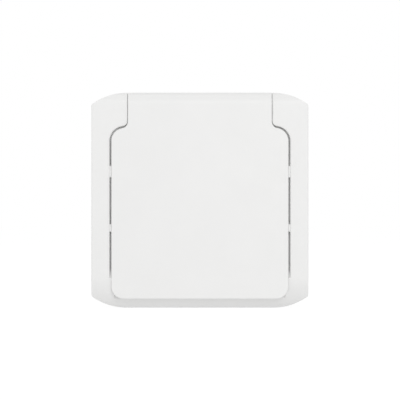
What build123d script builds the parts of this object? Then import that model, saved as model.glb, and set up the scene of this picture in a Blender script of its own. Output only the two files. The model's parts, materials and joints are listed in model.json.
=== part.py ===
from build123d import *
import os
from math import atan2, cos, degrees, pi, radians, sin, sqrt, tan

# Outdoor weatherproof socket: single surface-mounted outlet with a sprung lid.
# Drawn in millimetres with X to the right, Y up and Z out of the wall, from the
# middle of the wall face. The finished pieces are turned so that Z is up and
# the front faces -Y.

# Mouldings
WALL = 2.4
CHEEK_WIDTH = 6.45
CORNER_DROP = 4.3
CORNER_TIP = 1.2
SIDE_EDGE = 0.5
BROW_ROUND = 3.8
FOOT_ROUND = 10.3
POCKET_EDGE = 0.45

# Back box
BOX_DEPTH = 24.0
BACK_EDGE = 0.8
FIXING_SPACING = 60.0
FIXING_RADIUS = 2.1
FIXING_PAD_RADIUS = 4.6
FIXING_PAD_RISE = 1.0
PILLAR_RADIUS = 3.4
PILLAR_RISE = 2.0
PILLAR_WEB = 1.6
POST_RADIUS = 3.2
POST_HEIGHT = 3.0
KNOCKOUT_RADIUS = 8.0
KNOCKOUT_GROOVE = 0.8
KNOCKOUT_DEPTH = 0.9
REAR_KNOCKOUT_Y = 24.0

# Joint between back box and front cover
JOINT_LINE = 0.3
TONGUE_INSET = 1.25
TONGUE_HEIGHT = 2.5
TONGUE_CLEARANCE = 0.15
BODY_GASKET = 1.5

# Cable entry
ENTRY_HEIGHT = 12.0
ENTRY_RADIUS = 6.4
ENTRY_SEAT_RADIUS = 8.0
ENTRY_SEAT_DEPTH = 1.2
ENTRY_BOSS_WALL = 1.6
GROMMET_FLANGE = 1.0
GROMMET_BEAD = 0.9
GROMMET_MEMBRANE = 0.7
GROMMET_CONE = 3.0
GROMMET_TIP_RADIUS = 2.5
GROMMET_CLEARANCE = 0.1

# Socket well
WELL_RADIUS = 19.5
WELL_DEPTH = 17.5
WELL_WALL = 1.8
WELL_FLOOR = 2.5
WELL_CLEARANCE = 0.2
FLANGE_OVERLAP = 2.3
FLANGE_THICKNESS = 2.7
FLANGE_EDGE = 0.6
FLANGE_MARGIN = 0.7
POCKET_SIDE = 7.95
SEAL_WIDTH = 1.0
SEAL_DEPTH = 0.9
SEAL_INSET = 0.6
PLUG_PIN_SPACING = 19.0
PLUG_PIN_LENGTH = 19.0
PIN_HOLE_RADIUS = 2.6
PIN_HOLE_CHAMFER = 0.5
GUIDE_RIB_WIDTH = 4.6
GUIDE_RIB_REACH = 2.2
GUIDE_RIB_DROP = 2.5
BOSS_RADIUS = 3.6

# Contacts
STRIP = 0.8
CONTACT_WIDTH = 6.0
CONTACT_HALF_GAP = 3.1
CONTACT_PINCH = 2.75
CONTACT_HEIGHT = 12.0
TIP_ROOM = 0.5
STRAP_WIDTH = 7.5
STRAP_CLEARANCE = 0.4
STRAP_BEND = 1.2
CLIP_SET_OUT = 0.6
CLIP_REACH = 3.3
CLIP_TOP_DROP = 4.0
CLIP_LENGTH = 5.0
CLIP_SLOT_INSET = 2.0
CLIP_SLOT_DROP = 3.2

# Contact carrier and terminals
CARRIER_MARGIN = 1.5
CARRIER_FLOOR = 1.5
CARRIER_WALL = 1.5
CARRIER_SCREW_Y = 8.0
CARRIER_SCREW_INSET = 3.55
CARRIER_SEAT = 3.0
CONTACT_CLEARANCE = 0.3
TERMINAL_Y = -15.5
TERMINAL_LENGTH = 6.4
TERMINAL_HEIGHT = 8.0
TERMINAL_SIDE = 0.7
TERMINAL_TOP = 1.5
TERMINAL_LIFT = 0.5
WIRE_HOLE_RADIUS = 2.0
EARTH_X = 6.5
EARTH_ROOM = 0.5
EARTH_TAB = 6.0
EARTH_NUT = 2.4

# Shutter
SHUTTER_THICKNESS = 2.4
SHUTTER_CLEARANCE = 0.4
SHUTTER_TRAVEL = 6.0
SHUTTER_SIDE = 3.5
SHUTTER_RAMP = 1.8
SHUTTER_BAR = 2.0
SHUTTER_PEG_RADIUS = 0.75
SHUTTER_PEG_LENGTH = 1.8
GUIDE_RAIL = 1.6
GUIDE_PLAY = 0.3
GUIDE_FOOT_ROOM = 2.1
SHUTTER_SPRING_WIRE = 0.4
SHUTTER_SPRING_RADIUS = 1.2
SHUTTER_SPRING_TURNS = 6

# Screws
SCREW_RADIUS = 1.5
SCREW_HEAD_RADIUS = 2.6
SCREW_HEAD_HEIGHT = 1.8
SCREW_CLEARANCE = 0.2
THREAD_CLEARANCE = 0.05
HEAD_ROOM = 0.4
COVER_SCREW_INSET = 5.0
COVER_SCREW_DROP = 4.35
COVER_SCREW_SINK = 2.0
COVER_SCREW_GRIP = 9.0
CARRIER_SCREW_GRIP = 2.6
TERMINAL_SCREW_LENGTH = 6.0

# Lid
LID_GAP = 0.6
HINGE_GAP = 0.1
LID_PROUD = 0.8
LID_WALL = 2.0
LID_EDGE = 0.3
LID_BACK_CLEARANCE = 0.5
LID_CORNER = 4.3
SKIRT_STEP = 0.35
CAVITY_MARGIN = 0.6
EAR_WIDTH = 5.75
SHOULDER_DROP = 8.25
SHOULDER_SLOPE = 13.0
SHOULDER_INNER = 2.3
SHOULDER_OUTER = 4.5
RAMP_RUN = 2.7
SILL_HEIGHT = 10.8
SILL_EDGE = 1.2
LIP_REVEAL = 3.4
LIP_CLEARANCE = 0.3
LID_GASKET = 2.4
LID_GASKET_WIDTH = 2.4
LID_GASKET_CLEARANCE = 0.2
GASKET_PLAY = 0.05
GASKET_RIB = 1.0
GASKET_RIB_HEIGHT = 1.4
HINGE_WEB = 1.6
HINGE_WEB_X = 14.0
UPPER_GUIDE_Y = 10.1
UPPER_GUIDE_LENGTH = 4.0
LOWER_GUIDE_Y = -9.6
LOWER_GUIDE_LENGTH = 2.6
SIDE_GUIDE_CLEARANCE = 0.05
SIDE_GUIDE_DROP = 0.25
SHELF_DROP = 2.2
SHELF_RISE = 3.3
SHELF_END = 0.25

# Hinge
BARREL_RADIUS = 3.8
BARREL_CLEARANCE = 0.5
PIN_RADIUS = 1.25
PIN_CLEARANCE = 0.05
PIN_SEAT = 3.0
PIN_END_ROOM = 0.2
EAR_BOSS_WALL = 2.0
LID_SPRING_WIRE = 0.6
LID_SPRING_RADIUS = 2.1
LID_SPRING_PITCH = 0.8
LID_SPRING_TURNS = 6
LID_SPRING_LEG = 9.0
WINDOW_CLEARANCE = 0.4
WINDOW_SIDE = 1.0

# Levels above the wall, from the back plate out to the lid
CARRIER_BACK = WALL + POST_HEIGHT
CONTACT_SEAT = CARRIER_BACK + CARRIER_FLOOR
WELL_FLOOR_FRONT = CONTACT_SEAT + STRIP + TIP_ROOM + PLUG_PIN_LENGTH
WELL_FLOOR_BACK = WELL_FLOOR_FRONT - WELL_FLOOR
WELL_RIM = WELL_FLOOR_FRONT + WELL_DEPTH
SHUTTER_FRONT = WELL_FLOOR_BACK - SHUTTER_CLEARANCE
SHUTTER_BACK = SHUTTER_FRONT - SHUTTER_THICKNESS
STRAP_FRONT = SHUTTER_BACK - SHUTTER_CLEARANCE
CARRIER_FRONT = STRAP_FRONT - STRIP
POCKET_FLOOR = WELL_RIM - FLANGE_THICKNESS
LID_INNER = WELL_RIM + LID_GASKET_CLEARANCE + LID_GASKET
LID_FRONT = LID_INNER + LID_WALL
LID_BACK = POCKET_FLOOR + LID_BACK_CLEARANCE
BODY_DEPTH = LID_FRONT - LID_PROUD
SHELF_Z = BODY_DEPTH - SHELF_DROP
COVER_BACK = BOX_DEPTH + JOINT_LINE
GASKET_BACK = BOX_DEPTH + TONGUE_HEIGHT
REBATE_TOP = GASKET_BACK + BODY_GASKET
PILLAR_TOP = REBATE_TOP + PILLAR_RISE
COVER_SCREW_SEAT = POCKET_FLOOR - COVER_SCREW_SINK
HINGE_Z = LID_FRONT - BARREL_RADIUS

# Plan sizes, worked outwards from the well
WELL_OUTER = WELL_RADIUS + WELL_WALL
FLANGE_RADIUS = WELL_OUTER + FLANGE_OVERLAP
POCKET_HALF = FLANGE_RADIUS + POCKET_SIDE
LID_HALF = POCKET_HALF - LID_GAP
TONGUE_HALF = LID_HALF - EAR_WIDTH
HALF_WIDTH = POCKET_HALF + CHEEK_WIDTH
RAMP_FOOT = FLANGE_RADIUS + FLANGE_MARGIN
RAMP_TOP = RAMP_FOOT + RAMP_RUN
HALF_HEIGHT = RAMP_TOP + SILL_HEIGHT
LID_FOOT = HALF_HEIGHT - LIP_REVEAL
HINGE_Y = HALF_HEIGHT - BARREL_RADIUS
SHOULDER_Y = HINGE_Y - SHOULDER_DROP
SCREW_X = POCKET_HALF - COVER_SCREW_INSET
SCREW_Y = SHOULDER_Y - COVER_SCREW_DROP
CORNER_X = TONGUE_HALF + HINGE_GAP
SHELF_X = CORNER_X + SHELF_END
CORNER_RADIUS = ((HALF_WIDTH - CORNER_X) ** 2 + CORNER_DROP ** 2) / (2 * CORNER_DROP)
CORNER_Y = HALF_HEIGHT - CORNER_RADIUS
FOOT_Y = -HALF_HEIGHT + FOOT_ROUND
FOOT_Z = BODY_DEPTH - FOOT_ROUND
BROW_Y = HALF_HEIGHT - BROW_ROUND
BROW_Z = BODY_DEPTH - BROW_ROUND
SILL_Z = FOOT_Z + sqrt(FOOT_ROUND ** 2 - (LID_FOOT + FOOT_Y) ** 2)
POLE_X = PLUG_PIN_SPACING / 2
CARRIER_RADIUS = WELL_RADIUS + CARRIER_MARGIN
CARRIER_SCREW_X = sqrt((CARRIER_RADIUS - CARRIER_SCREW_INSET) ** 2 - CARRIER_SCREW_Y ** 2)
POLE_HALF = CONTACT_HALF_GAP + STRIP / 2 + CONTACT_CLEARANCE
APRON_HALF = POLE_X + POLE_HALF + CARRIER_WALL
APRON_FOOT = TERMINAL_Y - TERMINAL_LENGTH / 2 - CONTACT_CLEARANCE
SHUTTER_Z = (SHUTTER_FRONT + SHUTTER_BACK) / 2
SHUTTER_HALF = POLE_X + SHUTTER_SIDE
SHUTTER_SLOT = BOSS_RADIUS + GUIDE_PLAY
SHUTTER_FOOT = -SHUTTER_SLOT - SHUTTER_BAR
SHUTTER_TOP = SHUTTER_SLOT + SHUTTER_TRAVEL + SHUTTER_BAR
EARTH_Y = SHUTTER_TOP + SCREW_HEAD_RADIUS + EARTH_ROOM
GUIDE_FOOT = -WELL_RADIUS - CLIP_SET_OUT + GUIDE_FOOT_ROOM
SPRING_SEAT_Y = GUIDE_FOOT + GUIDE_RAIL
LID_GASKET_MEAN = (WELL_RADIUS + FLANGE_RADIUS) / 2
SPRING_HALF = LID_SPRING_PITCH * LID_SPRING_TURNS / 2
WINDOW_HALF = SPRING_HALF + LID_SPRING_WIRE / 2 + WINDOW_SIDE
WINDOW_RADIUS = LID_SPRING_RADIUS + LID_SPRING_WIRE / 2 + WINDOW_CLEARANCE
SCREW_BORE = SCREW_RADIUS + SCREW_CLEARANCE
THREAD_BORE = SCREW_RADIUS + THREAD_CLEARANCE
HEAD_BORE = SCREW_HEAD_RADIUS + HEAD_ROOM
PIN_BORE = PIN_RADIUS + PIN_CLEARANCE

BASE = (Align.CENTER, Align.CENTER, Align.MIN)
PAST = 5.0


def prism(face, z0, z1):
    return extrude(Pos(0, 0, z0) * face, amount=z1 - z0, dir=(0, 0, 1))


def bar(section, x0, x1):
    return extrude(Pos(x0, 0, 0) * (Plane.YZ * section), amount=x1 - x0, dir=(1, 0, 0))


def block(x0, x1, y0, y1, z0, z1):
    return Pos((x0 + x1) / 2, (y0 + y1) / 2, z0) * Box(x1 - x0, y1 - y0, z1 - z0, align=BASE)


def rod_x(radius, y, z, x0, x1):
    return Pos(x0, y, z) * (Rot(0, 90, 0) * Cylinder(radius, x1 - x0, align=BASE))


def rod_y(radius, x, z, y0, y1):
    return Pos(x, y0, z) * (Rot(-90, 0, 0) * Cylinder(radius, y1 - y0, align=BASE))


def rod_z(radius, x, y, z0, z1):
    return Pos(x, y, z0) * Cylinder(radius, z1 - z0, align=BASE)


def ring_z(outer, inner, z0, z1):
    return rod_z(outer, 0, 0, z0, z1) - rod_z(inner, 0, 0, z0 - PAST, z1 + PAST)


def polygon(*points):
    return make_face(Polyline(*points, close=True))


def one_solid(shape):
    return max(shape.solids(), key=lambda solid: solid.volume)


def body_outline(inset, tip=0.0):
    # Front outline of the housing: flat top and foot, bowed corners, plumb sides
    half_w = HALF_WIDTH - inset
    half_h = HALF_HEIGHT - inset
    radius = CORNER_RADIUS - inset
    side_y = CORNER_Y + sqrt(radius ** 2 - (half_w - CORNER_X) ** 2)
    middle = (atan2(side_y - CORNER_Y, half_w - CORNER_X) + pi / 2) / 2
    mid_x = CORNER_X + radius * cos(middle)
    mid_y = CORNER_Y + radius * sin(middle)
    face = make_face([
        Line((-CORNER_X, half_h), (CORNER_X, half_h)),
        ThreePointArc((CORNER_X, half_h), (mid_x, mid_y), (half_w, side_y)),
        Line((half_w, side_y), (half_w, -side_y)),
        ThreePointArc((half_w, -side_y), (mid_x, -mid_y), (CORNER_X, -half_h)),
        Line((CORNER_X, -half_h), (-CORNER_X, -half_h)),
        ThreePointArc((-CORNER_X, -half_h), (-mid_x, -mid_y), (-half_w, -side_y)),
        Line((-half_w, -side_y), (-half_w, side_y)),
        ThreePointArc((-half_w, side_y), (-mid_x, mid_y), (-CORNER_X, half_h)),
    ])
    if tip > 0:
        corners = [v for v in face.vertices() if abs(abs(v.X) - half_w) < 1e-6]
        face = fillet(corners, tip)
    return face


def body_profile(inset, back):
    # Side profile of the cover: small round at the brow, big round at the foot
    top = HALF_HEIGHT - inset
    front = BODY_DEPTH - inset
    brow = BROW_ROUND - inset
    foot = FOOT_ROUND - inset
    half = sqrt(0.5)
    return make_face([
        Line((-top, back), (top, back)),
        Line((top, back), (top, BROW_Z)),
        ThreePointArc((top, BROW_Z), (BROW_Y + brow * half, BROW_Z + brow * half), (BROW_Y, front)),
        Line((BROW_Y, front), (FOOT_Y, front)),
        ThreePointArc((FOOT_Y, front), (FOOT_Y - foot * half, FOOT_Z + foot * half), (-top, FOOT_Z)),
        Line((-top, FOOT_Z), (-top, back)),
    ])


def lid_outline(grow, tongue_grow, top, foot, corner=0.0):
    # Front outline of the lid: narrow tongue, S-shaped shoulders, wide leaf
    slope = radians(SHOULDER_SLOPE)
    tongue = TONGUE_HALF + tongue_grow
    leaf = LID_HALF + grow
    inner_y = SHOULDER_Y - tongue_grow * tan(slope) + grow / cos(slope)
    outer_y = inner_y - (leaf - tongue) * tan(slope)
    face = polygon(
        (-tongue, top), (-tongue, inner_y), (-leaf, outer_y), (-leaf, foot),
        (leaf, foot), (leaf, outer_y), (tongue, inner_y), (tongue, top),
    )
    rounds = [(tongue, inner_y, SHOULDER_INNER - grow), (leaf, outer_y, SHOULDER_OUTER + grow)]
    if corner > 0:
        rounds.append((leaf, foot, corner))
    for x, y, radius in rounds:
        corners = [v for v in face.vertices() if abs(abs(v.X) - x) < 1e-6 and abs(v.Y - y) < 1e-6]
        if radius > 0:
            face = fillet(corners, radius)
    return face


def ramp_section(offset, low, high):
    # Space above the sloping foot of the lid pocket, seen from the side
    lean = RAMP_RUN / (BODY_DEPTH - POCKET_FLOOR)
    low_y = -RAMP_FOOT - (low - POCKET_FLOOR) * lean + offset
    high_y = -RAMP_FOOT - (high - POCKET_FLOOR) * lean + offset
    past = HALF_HEIGHT + PAST
    return polygon((low_y, low), (high_y, high), (past, high), (past, low))


def pocket_block(grow):
    # Recess that the lid lies in, grown for the wall around it
    high = BODY_DEPTH + PAST
    low = POCKET_FLOOR - grow
    plan = lid_outline(LID_GAP + grow, HINGE_GAP + grow, HALF_HEIGHT + PAST, -HALF_HEIGHT - PAST)
    return prism(plan, low, high) & bar(ramp_section(-grow, low, high), -HALF_WIDTH, HALF_WIDTH)


def trough_block(grow):
    # Room for the hinge barrel between the ears, open at the top
    half = TONGUE_HALF + HINGE_GAP + grow
    radius = BARREL_RADIUS + BARREL_CLEARANCE + grow
    trough = rod_x(radius, HINGE_Y, HINGE_Z, -half, half)
    slot = block(-half, half, HINGE_Y, HALF_HEIGHT + PAST, HINGE_Z - radius, BODY_DEPTH + PAST)
    return trough + slot


def sill_block(grow):
    # Flat sill behind the lip of the lid
    half = LID_HALF - SILL_EDGE + grow
    return block(-half, half, -HALF_HEIGHT - PAST, -RAMP_FOOT, SILL_Z - grow, BODY_DEPTH + PAST)


def earth_block(grow, z0, z1):
    # Square column at the earth screw
    half = EARTH_TAB / 2 + grow
    return block(EARTH_X - half, EARTH_X + half, EARTH_Y - half, EARTH_Y + half, z0, z1)


def screw(x, y, seat, length):
    # Pan-head screw with its head seated at the given level
    head = rod_z(SCREW_HEAD_RADIUS, x, y, seat, seat + SCREW_HEAD_HEIGHT)
    crown = head.edges().filter_by(GeomType.CIRCLE).sort_by(Axis.Z)[-1]
    head = chamfer(crown, SCREW_HEAD_HEIGHT / 3)
    return one_solid(head + rod_z(SCREW_RADIUS, x, y, seat - length, seat))


def coiled_wire(path, wire):
    # Spring wire along a helix, with eight flats
    return one_solid(sweep(Plane(path @ 0, z_dir=path % 0) * RegularPolygon(wire / 2, 8), path=path))


def front_cover():
    # Side profile with rounded sides, then the lid pocket, hinge trough and sill
    blank = bar(body_profile(0, COVER_BACK), -HALF_WIDTH, HALF_WIDTH)
    sides = [e for e in blank.edges() if abs(abs(e.center().X) - HALF_WIDTH) < 0.01]
    blank = fillet([e for e in sides if e.center().Z > FOOT_Z], SIDE_EDGE)
    shell = blank - pocket_block(0) - trough_block(0) - sill_block(0)

    # Rounded mouth of the pocket, then the front outline
    tongue_x = TONGUE_HALF + HINGE_GAP
    mouth = []
    for edge in shell.edges():
        middle = edge.center()
        on_front = abs(middle.Z - BODY_DEPTH) < 1e-4 and abs(middle.X) < POCKET_HALF + 0.01
        on_brow = abs(abs(middle.X) - tongue_x) < 0.01 and middle.Y > BROW_Y and middle.Z > BROW_Z
        if (on_front and abs(middle.X) > TONGUE_HALF) or on_brow:
            mouth.append(edge)
    shell = fillet(mouth, POCKET_EDGE)
    shell = shell & prism(body_outline(0, CORNER_TIP), COVER_BACK - PAST, BODY_DEPTH + PAST)

    # Hollow behind the walls
    hollow = prism(body_outline(WALL), COVER_BACK - PAST, BODY_DEPTH)
    hollow = hollow & bar(body_profile(WALL, COVER_BACK - 2 * PAST), -HALF_WIDTH, HALF_WIDTH)
    hollow = hollow - pocket_block(WALL) - trough_block(WALL) - sill_block(WALL)
    hollow = hollow - rod_x(PIN_RADIUS + EAR_BOSS_WALL, HINGE_Y, HINGE_Z, -HALF_WIDTH, HALF_WIDTH)
    shell = shell - hollow
    shell = shell - prism(body_outline(TONGUE_INSET - TONGUE_CLEARANCE), COVER_BACK - PAST, REBATE_TOP)

    # Screw bosses with sunk heads
    for x in (-SCREW_X, SCREW_X):
        for y in (-SCREW_Y, SCREW_Y):
            shell = shell + rod_z(PILLAR_RADIUS, x, y, PILLAR_TOP, POCKET_FLOOR - WALL / 2)
            shell = shell - rod_z(SCREW_BORE, x, y, PILLAR_TOP - PAST, BODY_DEPTH)
            shell = shell - rod_z(HEAD_BORE, x, y, COVER_SCREW_SEAT, BODY_DEPTH)

    # Opening for the well and bores for the hinge pin
    shell = shell - rod_z(WELL_OUTER + WELL_CLEARANCE, 0, 0, POCKET_FLOOR - 2 * WALL, BODY_DEPTH)
    pin_end = tongue_x + PIN_SEAT + PIN_END_ROOM
    shell = shell - rod_x(PIN_BORE, HINGE_Y, HINGE_Z, -pin_end, pin_end)

    # Shelf under the shoulders and sides of the lid, rising to the front at its foot
    base = POCKET_FLOOR - WALL / 2
    top = BODY_DEPTH - SIDE_GUIDE_DROP
    past = HALF_HEIGHT + PAST
    rim = prism(lid_outline(LID_GAP + WALL / 2, HINGE_GAP + WALL / 2, past, -past), base, top)
    rim = rim - prism(lid_outline(SIDE_GUIDE_CLEARANCE, HINGE_GAP, past, -past), base - PAST, top + PAST)
    high_y = SHOULDER_Y + WALL
    rise_y = SHELF_RISE - RAMP_TOP
    shelf = polygon((high_y, base), (high_y, SHELF_Z), (rise_y, SHELF_Z), (-RAMP_TOP, top), (-RAMP_TOP, base))
    shell = shell + (rim & bar(shelf, SHELF_X, HALF_WIDTH)) + (rim & bar(shelf, -HALF_WIDTH, -SHELF_X))

    # Ribs that keep the lid central between the cheeks
    rib_x = LID_HALF + SIDE_GUIDE_CLEARANCE
    for side in (-1, 1):
        x0, x1 = sorted((side * rib_x, side * (POCKET_HALF + WALL / 2)))
        for y, length in ((UPPER_GUIDE_Y, UPPER_GUIDE_LENGTH), (LOWER_GUIDE_Y, LOWER_GUIDE_LENGTH)):
            shell = shell + block(x0, x1, y - length / 2, y + length / 2, base, top)
    return one_solid(shell)


def back_box():
    outer = prism(body_outline(0, CORNER_TIP), 0, BOX_DEPTH)
    outer = fillet([e for e in outer.edges() if abs(e.center().Z) < 1e-6], BACK_EDGE)
    shell = outer + prism(body_outline(TONGUE_INSET), BOX_DEPTH - WALL, GASKET_BACK)
    shell = shell - prism(body_outline(WALL), WALL, GASKET_BACK + PAST)

    # Pillars for the cover screws, each tied to the side wall by a web
    for x in (-SCREW_X, SCREW_X):
        for y in (-SCREW_Y, SCREW_Y):
            x0, x1 = sorted((x, (HALF_WIDTH - WALL / 2) * (1 if x > 0 else -1)))
            web_top = BOX_DEPTH - TONGUE_HEIGHT
            shell = shell + block(x0, x1, y - PILLAR_WEB / 2, y + PILLAR_WEB / 2, WALL / 2, web_top)
            shell = shell + rod_z(PILLAR_RADIUS, x, y, WALL / 2, PILLAR_TOP)
            bore_end = PILLAR_TOP - COVER_SCREW_GRIP - 2 * SCREW_RADIUS
            shell = shell - rod_z(THREAD_BORE, x, y, bore_end, PILLAR_TOP + PAST)

    # Posts under the contact carrier
    for side in (-1, 1):
        x = side * CARRIER_SCREW_X
        shell = shell + rod_z(POST_RADIUS, x, CARRIER_SCREW_Y, WALL / 2, CARRIER_BACK)
        bore_end = CARRIER_BACK - CARRIER_SCREW_GRIP - SCREW_CLEARANCE
        shell = shell - rod_z(THREAD_BORE, x, CARRIER_SCREW_Y, bore_end, CARRIER_BACK + PAST)
        shell = shell + rod_z(POST_RADIUS, side * POLE_X, TERMINAL_Y, WALL / 2, CARRIER_BACK)

    # Wall-fixing holes through raised pads
    for side in (-1, 1):
        x = side * FIXING_SPACING / 2
        shell = shell + rod_z(FIXING_PAD_RADIUS, x, 0, WALL / 2, WALL + FIXING_PAD_RISE)
        shell = shell - rod_z(FIXING_RADIUS, x, 0, -PAST, WALL + PAST)

    # Cable entry in the foot, and knock-out rings in the top and the back
    seat_y = -HALF_HEIGHT + ENTRY_SEAT_DEPTH
    boss_y = seat_y + WALL
    boss = ENTRY_SEAT_RADIUS + ENTRY_BOSS_WALL
    shell = shell + rod_y(boss, 0, ENTRY_HEIGHT, -HALF_HEIGHT + WALL / 2, boss_y)
    shell = shell - rod_y(ENTRY_SEAT_RADIUS, 0, ENTRY_HEIGHT, -HALF_HEIGHT - PAST, seat_y)
    shell = shell - rod_y(ENTRY_RADIUS, 0, ENTRY_HEIGHT, -HALF_HEIGHT - PAST, boss_y + PAST)
    outer = KNOCKOUT_RADIUS
    inner = KNOCKOUT_RADIUS - KNOCKOUT_GROOVE
    groove = rod_y(outer, 0, ENTRY_HEIGHT, HALF_HEIGHT - KNOCKOUT_DEPTH, HALF_HEIGHT + PAST)
    groove = groove - rod_y(inner, 0, ENTRY_HEIGHT, HALF_HEIGHT - WALL, HALF_HEIGHT + PAST)
    shell = shell - groove
    return one_solid(shell - Pos(0, -REAR_KNOCKOUT_Y, 0) * ring_z(outer, inner, -PAST, KNOCKOUT_DEPTH))


def body_gasket():
    return prism(body_outline(TONGUE_INSET), GASKET_BACK, REBATE_TOP) - prism(
        body_outline(WALL), GASKET_BACK - PAST, REBATE_TOP + PAST)


def cable_grommet():
    # Turned about the entry axis: flange, neck, bead behind the wall, stepped cone
    flange = ENTRY_SEAT_RADIUS - GROMMET_CLEARANCE
    neck = ENTRY_RADIUS - GROMMET_CLEARANCE
    inside = neck - GROMMET_MEMBRANE * 2
    seat = ENTRY_SEAT_DEPTH
    back = seat + WALL
    cone_end = back + GROMMET_BEAD + GROMMET_CONE
    section = polygon(
        (0, cone_end), (GROMMET_TIP_RADIUS, cone_end), (inside, back + GROMMET_BEAD),
        (neck + GROMMET_BEAD, back + GROMMET_CLEARANCE), (neck, back + GROMMET_CLEARANCE), (neck, seat),
        (flange, seat), (flange, seat - GROMMET_FLANGE), (inside, seat - GROMMET_FLANGE),
        (inside, back), (GROMMET_TIP_RADIUS, cone_end - GROMMET_MEMBRANE), (0, cone_end - GROMMET_MEMBRANE),
    )
    turned = revolve(section, axis=Axis.Y)
    return Pos(0, -HALF_HEIGHT, ENTRY_HEIGHT) * one_solid(turned)


def socket_insert():
    section = polygon(
        (0, WELL_FLOOR_BACK), (WELL_OUTER, WELL_FLOOR_BACK), (WELL_OUTER, POCKET_FLOOR),
        (FLANGE_RADIUS, POCKET_FLOOR), (FLANGE_RADIUS, WELL_RIM), (WELL_RADIUS, WELL_RIM),
        (WELL_RADIUS, WELL_FLOOR_FRONT), (0, WELL_FLOOR_FRONT),
    )
    rim = [v for v in section.vertices() if abs(v.Y - WELL_RIM) < 1e-6]
    section = chamfer(rim, FLANGE_EDGE)
    cup = revolve(Plane.XZ * section, axis=Axis.Z)

    # Guide ribs at the sides of the well and the boss for the centre screw
    for side in (-1, 1):
        x0, x1 = sorted((side * (WELL_RADIUS - GUIDE_RIB_REACH), side * (WELL_RADIUS + WELL_WALL / 2)))
        rib_top = WELL_RIM - GUIDE_RIB_DROP
        half = GUIDE_RIB_WIDTH / 2
        cup = cup + block(x0, x1, -half, half, WELL_FLOOR_FRONT - WELL_FLOOR / 2, rib_top)
    cup = cup + rod_z(BOSS_RADIUS, 0, 0, STRAP_FRONT, WELL_FLOOR_FRONT - WELL_FLOOR / 2)

    # Slots for the earth clips at the top and foot of the well
    half = STRAP_WIDTH / 2 + STRAP_CLEARANCE
    inner = WELL_RADIUS - CLIP_SLOT_INSET
    outer = WELL_OUTER + PAST
    slot_top = WELL_RIM - CLIP_SLOT_DROP
    cup = cup - block(-half, half, inner, outer, WELL_FLOOR_BACK - PAST, slot_top)
    cup = cup - block(-half, half, -outer, -inner, WELL_FLOOR_BACK - PAST, slot_top)

    # Pin holes, screw hole and the groove of the seal ring
    for side in (-1, 1):
        x = side * POLE_X
        cup = cup - rod_z(PIN_HOLE_RADIUS, x, 0, WELL_FLOOR_BACK - PAST, WELL_RIM)
        lead = Cone(PIN_HOLE_RADIUS, PIN_HOLE_RADIUS + PIN_HOLE_CHAMFER, PIN_HOLE_CHAMFER, align=BASE)
        cup = cup - Pos(x, 0, WELL_FLOOR_FRONT - PIN_HOLE_CHAMFER) * lead
    cup = cup - rod_z(SCREW_BORE, 0, 0, STRAP_FRONT - PAST, WELL_RIM)
    groove = FLANGE_RADIUS - SEAL_INSET
    seal_groove = ring_z(groove, groove - SEAL_WIDTH, POCKET_FLOOR - PAST, POCKET_FLOOR + SEAL_DEPTH)
    return one_solid(cup - seal_groove)


def insert_seal():
    outer = FLANGE_RADIUS - SEAL_INSET - GASKET_PLAY
    inner = FLANGE_RADIUS - SEAL_INSET - SEAL_WIDTH + GASKET_PLAY
    return ring_z(outer, inner, POCKET_FLOOR, POCKET_FLOOR + SEAL_DEPTH - GASKET_PLAY)


def contact_carrier():
    # Round block with a square apron, cut out for the contacts, terminals and screws
    past = CARRIER_FRONT + PAST
    apron = Pos(0, (APRON_FOOT - CARRIER_WALL) / 2) * Rectangle(2 * APRON_HALF, CARRIER_WALL - APRON_FOOT)
    carrier = prism(Circle(CARRIER_RADIUS) + apron, CARRIER_BACK, CARRIER_FRONT)
    for side in (-1, 1):
        x = side * POLE_X
        head_y = CONTACT_WIDTH / 2 + CONTACT_CLEARANCE
        carrier = carrier - block(x - POLE_HALF, x + POLE_HALF, APRON_FOOT, head_y, CONTACT_SEAT, past)
        wire_z = CONTACT_SEAT + STRIP + WIRE_HOLE_RADIUS + CONTACT_CLEARANCE
        carrier = carrier - rod_y(WIRE_HOLE_RADIUS, x, wire_z, APRON_FOOT - PAST, APRON_FOOT + PAST)
        screw_x = side * CARRIER_SCREW_X
        seat = CARRIER_BACK + CARRIER_SEAT
        carrier = carrier - rod_z(SCREW_BORE, screw_x, CARRIER_SCREW_Y, 0, past)
        carrier = carrier - rod_z(HEAD_BORE, screw_x, CARRIER_SCREW_Y, seat, past)
    core = CARRIER_FRONT - TERMINAL_SCREW_LENGTH
    carrier = carrier - earth_block(CONTACT_CLEARANCE, core - EARTH_NUT, past)
    return one_solid(carrier - rod_z(SCREW_BORE, 0, 0, core, past))


def pole_contact(side):
    # Folded strip: two sprung leaves that grip the plug pin, and a tail to the terminal
    x = side * POLE_X
    low = CONTACT_SEAT + STRIP / 2
    high = CONTACT_SEAT + CONTACT_HEIGHT
    grip = (low + 2 * high) / 3
    path = FilletPolyline(
        (x - CONTACT_HALF_GAP, high), (x - CONTACT_PINCH, grip), (x - CONTACT_HALF_GAP, low),
        (x + CONTACT_HALF_GAP, low), (x + CONTACT_PINCH, grip), (x + CONTACT_HALF_GAP, high),
        radius=STRIP,
    )
    section = Plane.XZ * trace(path, STRIP)
    leaves = extrude(Pos(0, -CONTACT_WIDTH / 2, 0) * section, amount=CONTACT_WIDTH, dir=(0, 1, 0))
    half = CONTACT_HALF_GAP - STRIP / 2 - CONTACT_CLEARANCE
    tail_end = TERMINAL_Y - TERMINAL_LENGTH / 2
    return one_solid(leaves + block(x - half, x + half, tail_end, 0, CONTACT_SEAT, CONTACT_SEAT + STRIP))


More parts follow.
